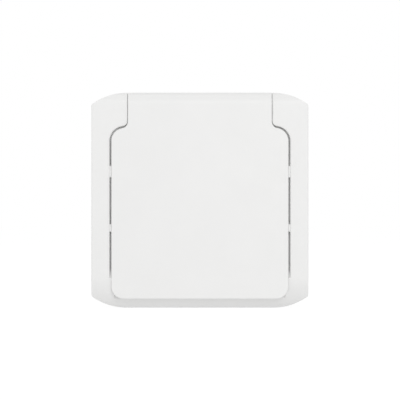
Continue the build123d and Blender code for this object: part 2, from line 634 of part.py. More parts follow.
def pole_terminal(side):
    # Saddle over the contact's tail, with the clamping screw through its top
    x = side * POLE_X
    inner = CONTACT_HALF_GAP - STRIP / 2
    outer = inner + TERMINAL_SIDE
    y0 = TERMINAL_Y - TERMINAL_LENGTH / 2
    y1 = TERMINAL_Y + TERMINAL_LENGTH / 2
    top = CONTACT_SEAT + TERMINAL_HEIGHT
    roof = top - TERMINAL_TOP
    saddle = block(x - outer, x + outer, y0, y1, CONTACT_SEAT, top)
    saddle = saddle - block(x - inner, x + inner, y0 - PAST, y1 + PAST, CONTACT_SEAT - PAST, roof)
    return one_solid(saddle - rod_z(THREAD_BORE, x, TERMINAL_Y, CONTACT_SEAT, top + PAST))


def earth_strap():
    # One bent strip: bridge behind the well and a sprung clip at each end
    level = STRAP_FRONT - STRIP / 2
    out_y = WELL_RADIUS + CLIP_SET_OUT
    in_y = WELL_RADIUS - CLIP_REACH
    end_z = WELL_RIM - CLIP_TOP_DROP
    path = FilletPolyline(
        (-out_y, end_z), (-in_y, end_z - CLIP_LENGTH), (-out_y, level),
        (out_y, level), (in_y, end_z - CLIP_LENGTH), (out_y, end_z),
        radius=STRAP_BEND,
    )
    half = STRAP_WIDTH / 2
    strap = bar(trace(path, STRIP), -half, half)
    tab = EARTH_TAB / 2
    strap = strap + block(0, EARTH_X + tab, EARTH_Y - tab, EARTH_Y + tab, CARRIER_FRONT, STRAP_FRONT)
    for x, y in ((0, 0), (EARTH_X, EARTH_Y)):
        strap = strap - rod_z(THREAD_BORE, x, y, CARRIER_FRONT - PAST, STRAP_FRONT + PAST)
    return one_solid(strap)


def earth_terminal():
    nut = earth_block(0, CARRIER_FRONT - EARTH_NUT, CARRIER_FRONT)
    return one_solid(nut - rod_z(THREAD_BORE, EARTH_X, EARTH_Y, 0, CARRIER_FRONT + PAST))


def terminal_screws():
    seat = CONTACT_SEAT + TERMINAL_HEIGHT + TERMINAL_LIFT
    poles = [screw(side * POLE_X, TERMINAL_Y, seat, TERMINAL_SCREW_LENGTH) for side in (-1, 1)]
    return Compound(children=poles + [screw(EARTH_X, EARTH_Y, STRAP_FRONT, TERMINAL_SCREW_LENGTH)])


def shutter():
    plate = block(-SHUTTER_HALF, SHUTTER_HALF, SHUTTER_FOOT, SHUTTER_TOP, SHUTTER_BACK, SHUTTER_FRONT)
    slot_top = SHUTTER_SLOT + SHUTTER_TRAVEL
    plate = plate - block(-SHUTTER_SLOT, SHUTTER_SLOT, -SHUTTER_SLOT, slot_top, 0, WELL_RIM)
    window = PIN_HOLE_RADIUS + GUIDE_PLAY
    ramp_end = SHUTTER_TRAVEL - window / 2
    ramp_floor = SHUTTER_FRONT - SHUTTER_RAMP
    ramp = polygon((-window, SHUTTER_FRONT), (ramp_end, ramp_floor), (ramp_end, SHUTTER_FRONT))
    for side in (-1, 1):
        x = side * POLE_X
        plate = plate - rod_z(window, x, SHUTTER_TRAVEL, 0, WELL_RIM)
        plate = plate - bar(ramp, x - window, x + window)
    peg_end = SHUTTER_FOOT - SHUTTER_PEG_LENGTH
    peg = rod_y(SHUTTER_PEG_RADIUS, 0, SHUTTER_Z, peg_end, SHUTTER_FOOT + SHUTTER_BAR / 2)
    return one_solid(plate + peg)


def shutter_guide():
    # Two rails on the carrier, joined at the foot by the bar that the spring stands on
    inner = SHUTTER_HALF + GUIDE_PLAY
    outer = inner + GUIDE_RAIL
    front = WELL_FLOOR_BACK - SHUTTER_CLEARANCE / 2
    back = STRAP_FRONT + SHUTTER_CLEARANCE / 4
    guide = block(-outer, outer, GUIDE_FOOT, SPRING_SEAT_Y, back, front)
    for side in (-1, 1):
        x0, x1 = sorted((side * inner, side * outer))
        guide = guide + block(x0, x1, GUIDE_FOOT, SHUTTER_TOP, CARRIER_FRONT, front)
    return one_solid(guide)


def shutter_spring():
    pitch = (SHUTTER_FOOT - SPRING_SEAT_Y - SHUTTER_SPRING_WIRE) / SHUTTER_SPRING_TURNS
    path = Helix(pitch, pitch * SHUTTER_SPRING_TURNS, SHUTTER_SPRING_RADIUS)
    coil = coiled_wire(path, SHUTTER_SPRING_WIRE)
    return Pos(0, SPRING_SEAT_Y + SHUTTER_SPRING_WIRE / 2, SHUTTER_Z) * (Rot(-90, 0, 0) * coil)


def centre_screw():
    return screw(0, 0, WELL_FLOOR_FRONT, WELL_FLOOR_FRONT - CARRIER_FRONT + TERMINAL_SCREW_LENGTH / 2)


def carrier_screws():
    seat = CARRIER_BACK + CARRIER_SEAT
    length = CARRIER_SEAT + CARRIER_SCREW_GRIP
    places = (-CARRIER_SCREW_X, CARRIER_SCREW_X)
    return Compound(children=[screw(x, CARRIER_SCREW_Y, seat, length) for x in places])


def cover_screws():
    length = COVER_SCREW_SEAT - PILLAR_TOP + COVER_SCREW_GRIP
    places = [(x, y) for x in (-SCREW_X, SCREW_X) for y in (-SCREW_Y, SCREW_Y)]
    return Compound(children=[screw(x, y, COVER_SCREW_SEAT, length) for x, y in places])


def lid():
    # Leaf and hinge barrel with a rounded edge all the way round the front
    leaf = prism(lid_outline(0, 0, HINGE_Y, -LID_FOOT, LID_CORNER), LID_INNER, LID_FRONT)
    front = [e for e in leaf.edges() if abs(e.center().Z - LID_FRONT) < 1e-4]
    leaf = fillet([e for e in front if abs(e.center().Y - HINGE_Y) > 1e-4], LID_EDGE)
    barrel = rod_x(BARREL_RADIUS, HINGE_Y, HINGE_Z, -TONGUE_HALF, TONGUE_HALF)
    ends = [e for e in barrel.edges() if abs(abs(e.center().X) - TONGUE_HALF) < 1e-4]
    leaf = leaf + fillet(ends, LID_EDGE)

    # Stepped skirt, then the room for the ramp, the sill and the foot round
    skirt_plan = lid_outline(-SKIRT_STEP, -SKIRT_STEP, HINGE_Y, -LID_FOOT + SKIRT_STEP, LID_CORNER)
    skirt = prism(skirt_plan, LID_BACK, LID_INNER)
    high = BODY_DEPTH + PAST
    grown = bar(body_profile(-LIP_CLEARANCE, 0), -HALF_WIDTH, HALF_WIDTH)
    grown = grown - bar(ramp_section(LID_BACK_CLEARANCE, 0, high), -HALF_WIDTH, HALF_WIDTH)
    half = LID_HALF - SILL_EDGE - LIP_CLEARANCE
    grown = grown - block(-half, half, -HALF_HEIGHT - PAST, 0, SILL_Z + LIP_CLEARANCE, high)
    body = leaf + skirt - grown

    # Hollow inside, with two rings that hold the gasket and two webs at the hinge
    top = HINGE_Y - BARREL_RADIUS - LID_WALL / 2
    foot = -FLANGE_RADIUS - CAVITY_MARGIN
    low = LID_INNER - GASKET_RIB_HEIGHT
    hollow = prism(lid_outline(-LID_WALL, -LID_WALL, top, foot), LID_BACK - PAST, LID_INNER)
    for x in (-HINGE_WEB_X, HINGE_WEB_X):
        hollow = hollow - block(x - HINGE_WEB / 2, x + HINGE_WEB / 2, 0, top, low, LID_INNER)
    body = body - hollow
    seat_outer = LID_GASKET_MEAN + LID_GASKET_WIDTH / 2 + GASKET_PLAY
    seat_inner = LID_GASKET_MEAN - LID_GASKET_WIDTH / 2 - GASKET_PLAY
    body = body - ring_z(seat_outer, seat_inner, LID_BACK - PAST, LID_INNER)
    body = body + ring_z(seat_outer + GASKET_RIB, seat_outer, low, LID_INNER)
    body = body + ring_z(seat_inner, seat_inner - GASKET_RIB, low, LID_INNER)

    # Pin bore and the window that the spring sits in
    body = body - rod_x(PIN_BORE, HINGE_Y, HINGE_Z, -TONGUE_HALF - PAST, TONGUE_HALF + PAST)
    body = body - rod_x(WINDOW_RADIUS, HINGE_Y, HINGE_Z, -WINDOW_HALF, WINDOW_HALF)
    window_top = HINGE_Y + WINDOW_RADIUS
    body = body - block(-WINDOW_HALF, WINDOW_HALF, HINGE_Y - WINDOW_RADIUS, window_top, 0, HINGE_Z)
    body = body - block(-WINDOW_HALF, WINDOW_HALF, top - LID_WALL, HINGE_Y, 0, LID_INNER)
    return one_solid(body)


def lid_gasket():
    outer = LID_GASKET_MEAN + LID_GASKET_WIDTH / 2
    return ring_z(outer, outer - LID_GASKET_WIDTH, WELL_RIM + LID_GASKET_CLEARANCE, LID_INNER)


def hinge_pin():
    end = TONGUE_HALF + HINGE_GAP + PIN_SEAT
    return rod_x(PIN_RADIUS, HINGE_Y, HINGE_Z, -end, end)


def spring_leg(end_z, turn):
    # Angle at which a leg leaves the coil, and its length to the face that it presses on
    drop = -LID_SPRING_LEG
    rise = end_z - HINGE_Z
    length = sqrt(drop ** 2 + rise ** 2 - LID_SPRING_RADIUS ** 2)
    return atan2(rise, drop) + turn * atan2(length, LID_SPRING_RADIUS), length


def lid_spring():
    # Torsion coil about the hinge pin, with one leg on the lid and one on the pocket floor
    wire = LID_SPRING_WIRE / 2
    lid_angle, lid_leg = spring_leg(LID_INNER - wire, 1)
    floor_angle, floor_leg = spring_leg(POCKET_FLOOR + wire, -1)
    part_turn = (floor_angle - lid_angle) / (2 * pi) % 1.0
    height = LID_SPRING_PITCH * (LID_SPRING_TURNS - 1 + part_turn)
    path = Helix(LID_SPRING_PITCH, height, LID_SPRING_RADIUS)
    coil = coiled_wire(path, LID_SPRING_WIRE)
    spring = coil
    for point, along, length in ((path @ 0, -(path % 0), lid_leg), (path @ 1, path % 1, floor_leg)):
        end = coil.faces().sort_by_distance(point)[0]
        spring = spring + extrude(end, amount=length, dir=along)
    across = Plane(origin=(0, 0, 0), x_dir=(0, 1, 0), z_dir=(1, 0, 0))
    turned = Rot(0, 0, degrees(lid_angle)) * one_solid(spring)
    return Pos(-height / 2, HINGE_Y, HINGE_Z) * (across * turned)


PARTS = {
    "back_box": back_box(),
    "front_cover": front_cover(),
    "body_gasket": body_gasket(),
    "cable_grommet": cable_grommet(),
    "socket_insert": socket_insert(),
    "insert_seal": insert_seal(),
    "contact_carrier": contact_carrier(),
    "live_contact": pole_contact(-1),
    "neutral_contact": pole_contact(1),
    "live_terminal": pole_terminal(-1),
    "neutral_terminal": pole_terminal(1),
    "earth_strap": earth_strap(),
    "earth_terminal": earth_terminal(),
    "terminal_screws": terminal_screws(),
    "shutter": shutter(),
    "shutter_guide": shutter_guide(),
    "shutter_spring": shutter_spring(),
    "centre_screw": centre_screw(),
    "carrier_screws": carrier_screws(),
    "cover_screws": cover_screws(),
    "lid": lid(),
    "lid_gasket": lid_gasket(),
    "hinge_pin": hinge_pin(),
    "lid_spring": lid_spring(),
}

os.makedirs("parts", exist_ok=True)
for name, piece in PARTS.items():
    solids = [Rot(90, 0, 0) * solid for solid in piece.solids()]
    export_step(Compound(children=solids) if len(solids) > 1 else solids[0], f"parts/{name}.step")
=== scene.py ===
import json
from math import atan2, ceil, cos, pi, radians, sin, sqrt

import bmesh
import bpy
from mathutils import Matrix, Vector


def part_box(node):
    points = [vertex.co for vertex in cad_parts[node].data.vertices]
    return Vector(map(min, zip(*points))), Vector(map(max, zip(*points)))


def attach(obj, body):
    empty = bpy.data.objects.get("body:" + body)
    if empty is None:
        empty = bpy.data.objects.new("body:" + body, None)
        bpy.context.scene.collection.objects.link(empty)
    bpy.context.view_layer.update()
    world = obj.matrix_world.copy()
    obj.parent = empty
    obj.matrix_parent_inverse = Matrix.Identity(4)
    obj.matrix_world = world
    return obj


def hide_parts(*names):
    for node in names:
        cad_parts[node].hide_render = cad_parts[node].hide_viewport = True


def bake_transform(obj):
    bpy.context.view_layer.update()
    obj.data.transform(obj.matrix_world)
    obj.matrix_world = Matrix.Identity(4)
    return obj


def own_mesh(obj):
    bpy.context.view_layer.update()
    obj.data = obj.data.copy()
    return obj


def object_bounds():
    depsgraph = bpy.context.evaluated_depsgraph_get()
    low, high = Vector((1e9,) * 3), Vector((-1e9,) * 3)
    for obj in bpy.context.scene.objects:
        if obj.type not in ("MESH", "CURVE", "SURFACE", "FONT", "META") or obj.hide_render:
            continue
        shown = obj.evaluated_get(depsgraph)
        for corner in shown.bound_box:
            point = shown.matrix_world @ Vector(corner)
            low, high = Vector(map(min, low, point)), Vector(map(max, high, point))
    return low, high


# Outdoor weatherproof socket: finishes, screws, springs and seals, light and camera.
# Metres, with Z up, the front towards -Y and the wall face at Y = 0.

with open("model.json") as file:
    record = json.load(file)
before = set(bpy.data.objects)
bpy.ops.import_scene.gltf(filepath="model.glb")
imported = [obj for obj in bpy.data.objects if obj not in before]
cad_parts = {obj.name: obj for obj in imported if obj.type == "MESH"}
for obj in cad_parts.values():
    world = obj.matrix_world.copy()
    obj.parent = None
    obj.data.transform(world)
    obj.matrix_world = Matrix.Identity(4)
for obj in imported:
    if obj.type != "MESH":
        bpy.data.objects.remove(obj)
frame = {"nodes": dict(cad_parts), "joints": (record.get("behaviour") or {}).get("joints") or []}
cad_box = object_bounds()
nodes = frame["nodes"]
joints = {joint["name"]: joint for joint in frame["joints"]}

MM = 0.001
TO_FRONT = (0, -1, 0)
TO_WALL = (0, 1, 0)

# View: a pixel's size at the front of the object, a long lens, and where the eye is off the middle
IMAGE_PX = 400
PIXEL = 0.3495 * MM
LENS = 300.0
SENSOR = 36.0
EYE_RIGHT = 0.05 * MM
EYE_UP = 0.175 * MM

# Room and floor: what they send onto the object, how dark the floor's shadow gets, and half its side
ROOM_LIGHT = 0.68
FLOOR_GLOW = 0.57
FLOOR_PAPER = 0.25
FLOOR_SHADE = 0.18
FLOOR_HALF = 3.0
WHITE = (1.0, 1.0, 1.0, 1.0)

# Lamps: place, width and height, and power
KEY_PLACE = (0.17, -1.09, 0.20)
KEY_SIZE = (0.28, 0.80)
KEY_POWER = 3.50
TOP_PLACE = (0.0, -0.10, 1.10)
TOP_SIZE = (0.80, 0.60)
TOP_POWER = 1.0
BACK_PLACE = (-0.60, 1.20, 0.35)
BACK_SIZE = (0.90, 0.90)
BACK_POWER = 1.2
LEFT_PLACE = (-0.90, 0.0, 0.0)
LEFT_POWER = 1.5
RIGHT_PLACE = (0.90, 0.0, 0.0)
RIGHT_POWER = 0.8
SIDE_SIZE = (0.60, 0.60)

# All finishes: noise values at which tone and roughness reach their ends, and fineness of noise and edges
TONE_ENDS = (0.35, 0.65)
ROUGH_ENDS = (0.3, 0.7)
NOISE_DETAIL = 2.0
EDGE_SAMPLES = 4

# Moulded plastic: flow marks in colour, patches of gloss, the mould's grain (size, depth), eased edges
FLOW_SIZE = 14 * MM
FLOW_DETAIL = 3.0
FLOW_DARK = 0.988
GLOSS_SIZE = 3 * MM
GLOSS_SPREAD = 0.03
FINE_GRAIN = (0.22 * MM, 0.003 * MM)
COARSE_GRAIN = (0.3 * MM, 0.006 * MM)
PLASTIC_EDGE = 0.12 * MM

# Rubber: dusty bloom in colour and gloss, a fine skin, soft edges
BLOOM_SIZE = 2.5 * MM
BLOOM_DETAIL = 4.0
BLOOM_LIGHT = 1.16
RUBBER_ROUGH = (0.62, 0.78)
SKIN_SIZE = 0.12 * MM
SKIN_DEPTH = 0.004 * MM
RUBBER_EDGE = 0.1 * MM

# Worked metal: drawn lines with how far they stretch along each axis, tarnish, crisp edges
LINE_SIZE = 0.09 * MM
LINE_DEPTH = 0.002 * MM
ROLLED_UPRIGHT = (1, 1, 30)
PLATED_EVENLY = (1, 1, 1)
DRAWN_SIDEWAYS = (25, 1, 1)
TARNISH_SIZE = 2.2 * MM
TARNISH_DETAIL = 4.0
TARNISH_DARK = 0.88
METAL_SMOOTHER = 0.06
METAL_ROUGHER = 0.08
METAL_EDGE = 0.08 * MM

# New pieces: angles past which an edge stays sharp, on screws and on wire and rubber
SCREW_SHARP = radians(35)
SOFT_SHARP = radians(60)

# Grid on which the coinciding corners of a solid are matched
WELD = 0.002 * MM

# Rounded corners: steps along each, and the share of a side that a corner may take
ROUND_STEPS = 4
ROUND_SHARE = 0.45

# Screws: head with a straight rim and a full crown, thread, and a tip that narrows over some pitches
SCREW_RADIUS = 1.5 * MM
SCREW_SIDES = 32
SCREW_TURN = radians(137)
HEAD_HEIGHT = 1.8 * MM
HEAD_RIM = 0.5 * MM
HEAD_EDGE = 0.12 * MM
HEAD_FULLNESS = 3.2
HEAD_STEPS = 8
THREAD_PITCH = 0.7 * MM
THREAD_DEPTH = 0.26 * MM
THREAD_SLOPE = 3.1
PITCH_STEPS = 6
TIP_PITCHES = 1.2
TIP_SHARE = 0.72

# Cross recess: half the width and half the length of its arms, above the head and at its tip
CROSS_ARM = 0.42 * MM
CROSS_REACH = 1.5 * MM
CROSS_ABOVE = 0.2 * MM
CROSS_TIP_ARM = 0.06 * MM
CROSS_TIP_REACH = 0.95 * MM
CROSS_DEPTH = 1.3 * MM

# Cable grommet, from its flange to its blind tip
GROMMET_FLANGE = 1.0 * MM
GROMMET_NECK = 6.3 * MM
GROMMET_NECK_END = 3.5 * MM
GROMMET_BEAD = 7.2 * MM
GROMMET_BEAD_END = 4.3 * MM
GROMMET_INSIDE = 4.9 * MM
GROMMET_TIP = 2.5 * MM
GROMMET_SKIN = 0.7 * MM
GROMMET_STEPS = 3
GROMMET_ROUND = 0.3 * MM
GROMMET_SIDES = 96

# Seal in the lid: its beads as shares of its width, and their slope and groove as shares of its height
LID_SEAL_WIDTH = 2.4 * MM
LID_SEAL_ROUND = 0.35 * MM
LID_SEAL_SIDES = 128
BEAD_START = 0.1
BEAD_END = 0.28
GROOVE_START = 0.42
SLOPE_HEIGHT = 0.8
GROOVE_HEIGHT = 0.68

# Spring wire, with a ring and a pole that dome its ends, as shares of its radius
WIRE_SIDES = 12
TURN_POINTS = 28
DOME_RING = 0.6
DOME_RISE = 0.35
DOME_POLE = 0.45

# Shutter spring: turns at each closed end, their rise per turn in wires, and the open turns between
SHUTTER_WIRE = 0.4 * MM
CLOSED_TURNS = 1.2
CLOSED_RISE = 1.02
OPEN_TURNS = 5.0

# Lid spring: its wire and its whole turns
LID_WIRE = 0.6 * MM
LID_TURNS = 5


def add_node(tree, kind, inputs=None, **settings):
    # Shader node with its inputs linked to sockets or set to values
    made = tree.nodes.new(kind)
    for key, value in settings.items():
        setattr(made, key, value)
    for key, value in (inputs or {}).items():
        if isinstance(value, bpy.types.NodeSocket):
            tree.links.new(value, made.inputs[key])
        else:
            made.inputs[key].default_value = value
    return made


def new_finish(name):
    finish = bpy.data.materials.new(name)
    finish.use_nodes = True
    tree = finish.node_tree
    return finish, tree, tree.nodes["Principled BSDF"]


def connect(tree, shader, **sockets):
    for key, socket in sockets.items():
        tree.links.new(socket, shader.inputs[key.replace("_", " ")])


def cloud(tree, size, stretch=(1.0, 1.0, 1.0), detail=NOISE_DETAIL):
    # Noise whose lumps have the given size in metres, longer along stretched axes
    place = add_node(tree, "ShaderNodeTexCoord").outputs["Object"]
    scale = [1.0 / (size * factor) for factor in stretch]
    mapped = add_node(tree, "ShaderNodeMapping", {"Vector": place, "Scale": scale})
    noise = {"Vector": mapped.outputs["Vector"], "Scale": 1.0, "Detail": detail}
    return add_node(tree, "ShaderNodeTexNoise", noise).outputs["Fac"]


def tones(tree, factor, dark, light):
    # Colour that goes from dark to light as the factor rises
    ramp = add_node(tree, "ShaderNodeValToRGB", {"Fac": factor})
    low, high = ramp.color_ramp.elements
    low.position, high.position = TONE_ENDS
    low.color = (*dark, 1.0)
    high.color = (*light, 1.0)
    return ramp.outputs["Color"]


def spread(tree, factor, low, high):
    # Number that goes from low to high as the factor rises
    start, end = ROUGH_ENDS
    limits = {"Value": factor, "From Min": start, "From Max": end, "To Min": low, "To Max": high}
    return add_node(tree, "ShaderNodeMapRange", limits).outputs["Result"]


def relief(tree, height, depth, edge):
    # Bump of the given depth on a surface whose sharp edges are eased
    eased = add_node(tree, "ShaderNodeBevel", {"Radius": edge}, samples=EDGE_SAMPLES)
    inputs = {"Height": height, "Distance": depth, "Strength": 1.0, "Normal": eased.outputs["Normal"]}
    return add_node(tree, "ShaderNodeBump", inputs).outputs["Normal"]


def scaled(colour, factor):
    return tuple(channel * factor for channel in colour)


def moulded_plastic(name, colour, roughness, grain=FINE_GRAIN):
    # Spark-eroded mould texture, with faint flow marks in colour and patches of gloss
    finish, tree, shader = new_finish(name)
    flow = cloud(tree, FLOW_SIZE, detail=FLOW_DETAIL)
    gloss = cloud(tree, GLOSS_SIZE)
    grain_size, grain_depth = grain
    connect(
        tree, shader,
        Base_Color=tones(tree, flow, scaled(colour, FLOW_DARK), colour),
        Roughness=spread(tree, gloss, roughness - GLOSS_SPREAD, roughness + GLOSS_SPREAD),
        Normal=relief(tree, cloud(tree, grain_size), grain_depth, PLASTIC_EDGE),
    )
    return finish


def rubber(name, colour):
    # Dull moulded rubber with a dusty bloom
    finish, tree, shader = new_finish(name)
    bloom = cloud(tree, BLOOM_SIZE, detail=BLOOM_DETAIL)
    connect(
        tree, shader,
        Base_Color=tones(tree, bloom, colour, scaled(colour, BLOOM_LIGHT)),
        Roughness=spread(tree, bloom, *RUBBER_ROUGH),
        Normal=relief(tree, cloud(tree, SKIN_SIZE), SKIN_DEPTH, RUBBER_EDGE),
    )
    return finish


def worked_metal(name, colour, roughness, stretch):
    # Fine lines, longer along a stretched axis, with slightly uneven tarnish
    finish, tree, shader = new_finish(name)
    shader.inputs["Metallic"].default_value = 1.0
    lines = cloud(tree, LINE_SIZE, stretch)
    tarnish = cloud(tree, TARNISH_SIZE, detail=TARNISH_DETAIL)
    connect(
        tree, shader,
        Base_Color=tones(tree, tarnish, scaled(colour, TARNISH_DARK), colour),
        Roughness=spread(tree, lines, roughness - METAL_SMOOTHER, roughness + METAL_ROUGHER),
        Normal=relief(tree, lines, LINE_DEPTH, METAL_EDGE),
    )
    return finish


# Finish of each material slot
FINISHES = {
    "white_plastic": moulded_plastic("satin_white_moulding", (0.853, 0.852, 0.846), 0.42),
    "well_plastic": moulded_plastic("well_white_moulding", (0.82, 0.82, 0.81), 0.34),
    "carrier_plastic": moulded_plastic("dark_thermoset", (0.05, 0.05, 0.054), 0.5, COARSE_GRAIN),
    "shutter_plastic": moulded_plastic("natural_shutter", (0.62, 0.61, 0.57), 0.4),
    "gasket_rubber": rubber("grey_gasket", (0.085, 0.088, 0.092)),
    "grommet_rubber": rubber("light_grommet", (0.40, 0.40, 0.39)),
    "contact_brass": worked_metal("rolled_brass", (0.80, 0.58, 0.27), 0.3, ROLLED_UPRIGHT),
    "plated_steel": worked_metal("nickel_plate", (0.70, 0.68, 0.64), 0.26, ROLLED_UPRIGHT),
    "screw_steel": worked_metal("zinc_plate", (0.68, 0.69, 0.71), 0.32, PLATED_EVENLY),
    "spring_steel": worked_metal("drawn_steel", (0.60, 0.60, 0.60), 0.28, DRAWN_SIDEWAYS),
}

for part in nodes.values():
    for slot in part.material_slots:
        slot.material = FINISHES[slot.material.name]


def new_object(name, data):
    made = bpy.data.objects.new(name, data)
    bpy.context.scene.collection.objects.link(made)
    return made


def new_piece(name, vertices, faces, slot, replaced, sharp):
    # Smooth piece with its finish, in place of a node
    mesh = bpy.data.meshes.new(name)
    mesh.from_pydata(vertices, [], faces)
    shape = bmesh.new()
    shape.from_mesh(mesh)
    bmesh.ops.recalc_face_normals(shape, faces=shape.faces)
    shape.to_mesh(mesh)
    shape.free()
    mesh.shade_smooth()
    mesh.set_sharp_from_angle(angle=sharp)
    mesh.materials.append(FINISHES[slot])
    piece = new_object(name, mesh)
    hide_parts(replaced)
    return piece


def solid_boxes(name):
    # Box of each separate solid in a node, found by joining corners that coincide
    mesh = nodes[name].data
    keys = [tuple(round(value / WELD) for value in vertex.co) for vertex in mesh.vertices]
    group = {key: key for key in keys}

    def leader(key):
        while group[key] != key:
            group[key] = group[group[key]]
            key = group[key]
        return key

    for edge in mesh.edges:
        first, second = (leader(keys[index]) for index in edge.vertices)
        group[first] = second
    boxes = {}
    for key, vertex in zip(keys, mesh.vertices):
        low, high = boxes.setdefault(leader(key), (vertex.co.copy(), vertex.co.copy()))
        for axis in range(3):
            low[axis] = min(low[axis], vertex.co[axis])
            high[axis] = max(high[axis], vertex.co[axis])
    return list(boxes.values())


def rows_mesh(rows, closed_profile=False):
    # Skin over rings of points; a ring of one point is a pole
    vertices = []
    starts = []
    for row in rows:
        starts.append(len(vertices))
        vertices.extend(row)
    pairs = list(zip(range(len(rows)), range(1, len(rows))))
    if closed_profile:
        pairs.append((len(rows) - 1, 0))
    faces = []
    for upper, lower in pairs:
        sides = max(len(rows[upper]), len(rows[lower]))
        for side in range(sides):
            after = (side + 1) % sides
            above = [starts[upper] + side, starts[upper] + after]
            below = [starts[lower] + after, starts[lower] + side]
            if len(rows[upper]) == 1:
                above = [starts[upper]]
            if len(rows[lower]) == 1:
                below = [starts[lower]]
            faces.append(above + below)
    return vertices, faces


def turned_rows(profile, sides, to_frame):
    # Rings of a turned form: profile points are (radius, height) along its axis
    rows = []
    for radius, height in profile:
        count = sides if radius > 0 else 1
        angles = [2 * pi * side / sides for side in range(count)]
        rows.append([to_frame @ Vector((radius * cos(a), radius * sin(a), height)) for a in angles])
    return rows


def rounded(points, radius, closed=True):
    # Profile with each corner replaced by a small curve; an open one keeps its ends
    result = []
    count = len(points)
    for index, corner in enumerate(points):
        corner = Vector(corner)
        if not closed and index in (0, count - 1):
            result.append(corner)
            continue
        before = Vector(points[index - 1]) - corner
        after = Vector(points[(index + 1) % count]) - corner
        reach = min(radius, before.length * ROUND_SHARE, after.length * ROUND_SHARE)
        start = corner + before.normalized() * reach
        end = corner + after.normalized() * reach
        for step in range(ROUND_STEPS + 1):
            done = step / ROUND_STEPS
            left = 1 - done
            result.append(left ** 2 * start + 2 * done * left * corner + done ** 2 * end)
    return [tuple(point) for point in result]


def pointing(axis, origin):
    # Frame whose local Z runs along the axis from the origin
    return Matrix.Translation(origin) @ Vector(axis).to_track_quat("Z", "Y").to_matrix().to_4x4()


def head_profile(head_radius):
    # Pan head from the middle of its crown to its seat at height zero
    profile = []
    for step in range(HEAD_STEPS + 1):
        angle = pi / 2 * step / HEAD_STEPS
        radius = head_radius * sin(angle) ** (2 / HEAD_FULLNESS)
        crown = (HEAD_HEIGHT - HEAD_RIM) * cos(angle) ** (2 / HEAD_FULLNESS)
        profile.append((radius, HEAD_RIM + crown))
    return profile + [(head_radius, HEAD_EDGE), (head_radius - HEAD_EDGE, 0.0)]


def screw_rows(length, head_radius):
    # Pan head on top, threaded shank below, seat at height zero
    rows = turned_rows(head_profile(head_radius), SCREW_SIDES, Matrix.Identity(4))
    root = SCREW_RADIUS - THREAD_DEPTH
    tip = TIP_PITCHES * THREAD_PITCH
    steps = ceil(length / (THREAD_PITCH / PITCH_STEPS))
    for step in range(steps + 1):
        depth = length * step / steps
        fade = min(1.0, depth / THREAD_PITCH, max(0.0, (length - depth) / tip))
        narrowing = TIP_SHARE + (1 - TIP_SHARE) * min(1.0, (length - depth) / tip)
        row = []
        for side in range(SCREW_SIDES):
            turn = side / SCREW_SIDES
            phase = (depth / THREAD_PITCH + turn) % 1.0
            crest = min(1.0, max(0.0, THREAD_SLOPE / 2 - THREAD_SLOPE * abs(phase - 0.5)))
            radius = (root + THREAD_DEPTH * crest * fade) * narrowing
            row.append(Vector((radius * cos(2 * pi * turn), radius * sin(2 * pi * turn), -depth)))
        rows.append(row)
    rows.append([Vector((0.0, 0.0, -length))])
    return rows


def cross_ring(height, arm, reach):
    # Outline of a cross whose corners fall between the facet edges of a screw head
    half_facet = pi / SCREW_SIDES
    ring = []
    for quarter in range(4):
        turned = Matrix.Rotation(quarter * pi / 2 + half_facet, 3, "Z")
        for x, y in ((reach, -arm), (reach, arm), (arm, arm)):
            ring.append(turned @ Vector((x, y, height)))
    return ring


def outward_object(name, vertices, faces):
    # Object for a boolean, with the faces of its rows turned outwards
    mesh = bpy.data.meshes.new(name)
    mesh.from_pydata(vertices, [], [list(reversed(face)) for face in faces])
    return new_object(name, mesh)


def cross_cutter():
    # Cross that narrows to its tip, sunk into a screw head
    top = cross_ring(HEAD_HEIGHT + CROSS_ABOVE, CROSS_ARM, CROSS_REACH)
    tip = cross_ring(HEAD_HEIGHT - CROSS_DEPTH, CROSS_TIP_ARM, CROSS_TIP_REACH)
    vertices, faces = rows_mesh([top, tip])
    count = len(top)
    faces += [list(reversed(range(count))), list(range(count, 2 * count))]
    return outward_object("cross_cutter", vertices, faces)


def screw_mesh(length, head_radius):
    # Screw with a cross recess cut into its head
    blank = outward_object("screw_blank", *rows_mesh(screw_rows(length, head_radius)))
    cutter = cross_cutter()
    cut = blank.modifiers.new("cross", "BOOLEAN")
    cut.operation = "DIFFERENCE"
    cut.solver = "EXACT"
    cut.object = cutter
    ready = blank.evaluated_get(bpy.context.evaluated_depsgraph_get())
    finished = bpy.data.meshes.new_from_object(ready)
    for leftover in (blank, cutter):
        bpy.data.objects.remove(leftover)
    return finished


def screws(node):
    # Replaces each screw of a node, with its head towards the front, each stopped at its own angle
    vertices = []
    faces = []
    for index, (low, high) in enumerate(solid_boxes(node)):
        head_radius = (high.x - low.x) / 2
        seat = Vector(((low.x + high.x) / 2, low.y + HEAD_HEIGHT, (low.z + high.z) / 2))
        place = pointing(TO_FRONT, seat) @ Matrix.Rotation(index * SCREW_TURN, 4, "Z")
        mesh = screw_mesh(high.y - seat.y, head_radius)
        start = len(vertices)
        vertices += [place @ vertex.co for vertex in mesh.vertices]
        faces += [[start + corner for corner in face.vertices] for face in mesh.polygons]
        bpy.data.meshes.remove(mesh)
    name = node.replace("screw", "cross_screw")
    piece = new_piece(name, vertices, faces, "screw_steel", node, SCREW_SHARP)
    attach(piece, "housing")


